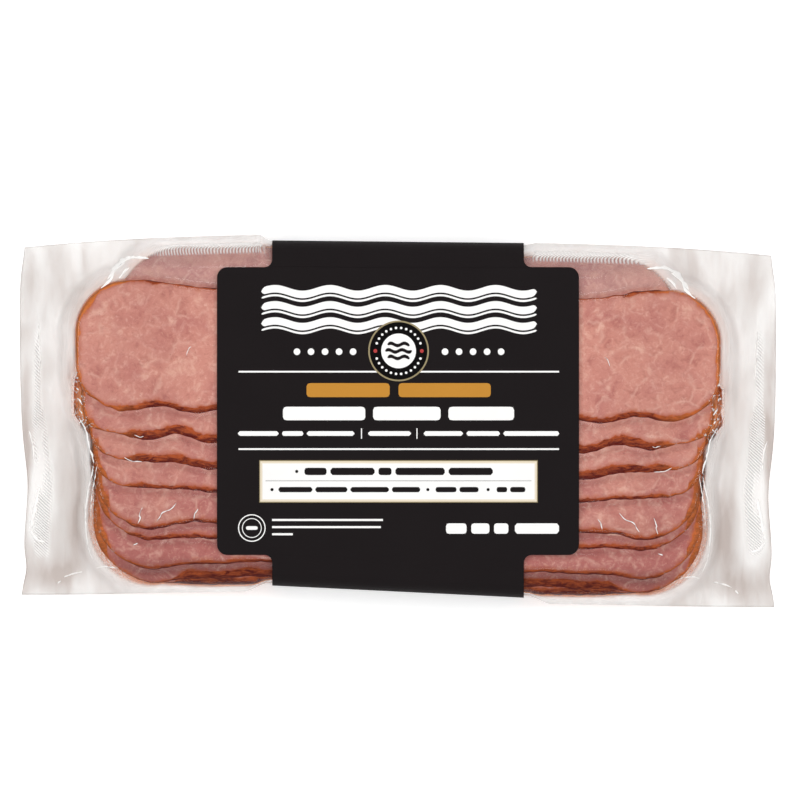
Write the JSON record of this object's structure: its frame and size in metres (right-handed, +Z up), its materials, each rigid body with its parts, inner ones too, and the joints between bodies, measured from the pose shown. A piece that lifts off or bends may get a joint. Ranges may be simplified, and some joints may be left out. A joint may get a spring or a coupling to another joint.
{
  "type": "sliced bacon vacuum pack",
  "caption": "Clear vacuum pack of shingled sliced bacon lying on its back, with a black board sleeve round its middle and flat sealed film flanges.",
  "frame": {"origin": "under the middle of the pack, at the height of the surface that it lies on", "axes": "+X along the pack's long side, +Y across it towards the upper edge of the label, +Z up out of the label's face"},
  "size_m": [0.2922, 0.144, 0.0394],
  "materials": {
    "bacon_in_film": "moist pink meat under tight clear film",
    "clear_film": "clear glossy packing film",
    "smoked_rind": "moist orange-brown smoked edge",
    "black_board": "matt black printed board",
    "pale_print": "matt white print",
    "gold_print": "matt gold print"
  },
  "bodies": {
    "root": {"sealed_pouch": "bacon_in_film", "board_sleeve": "black_board"}
  },
  "joints": []
}
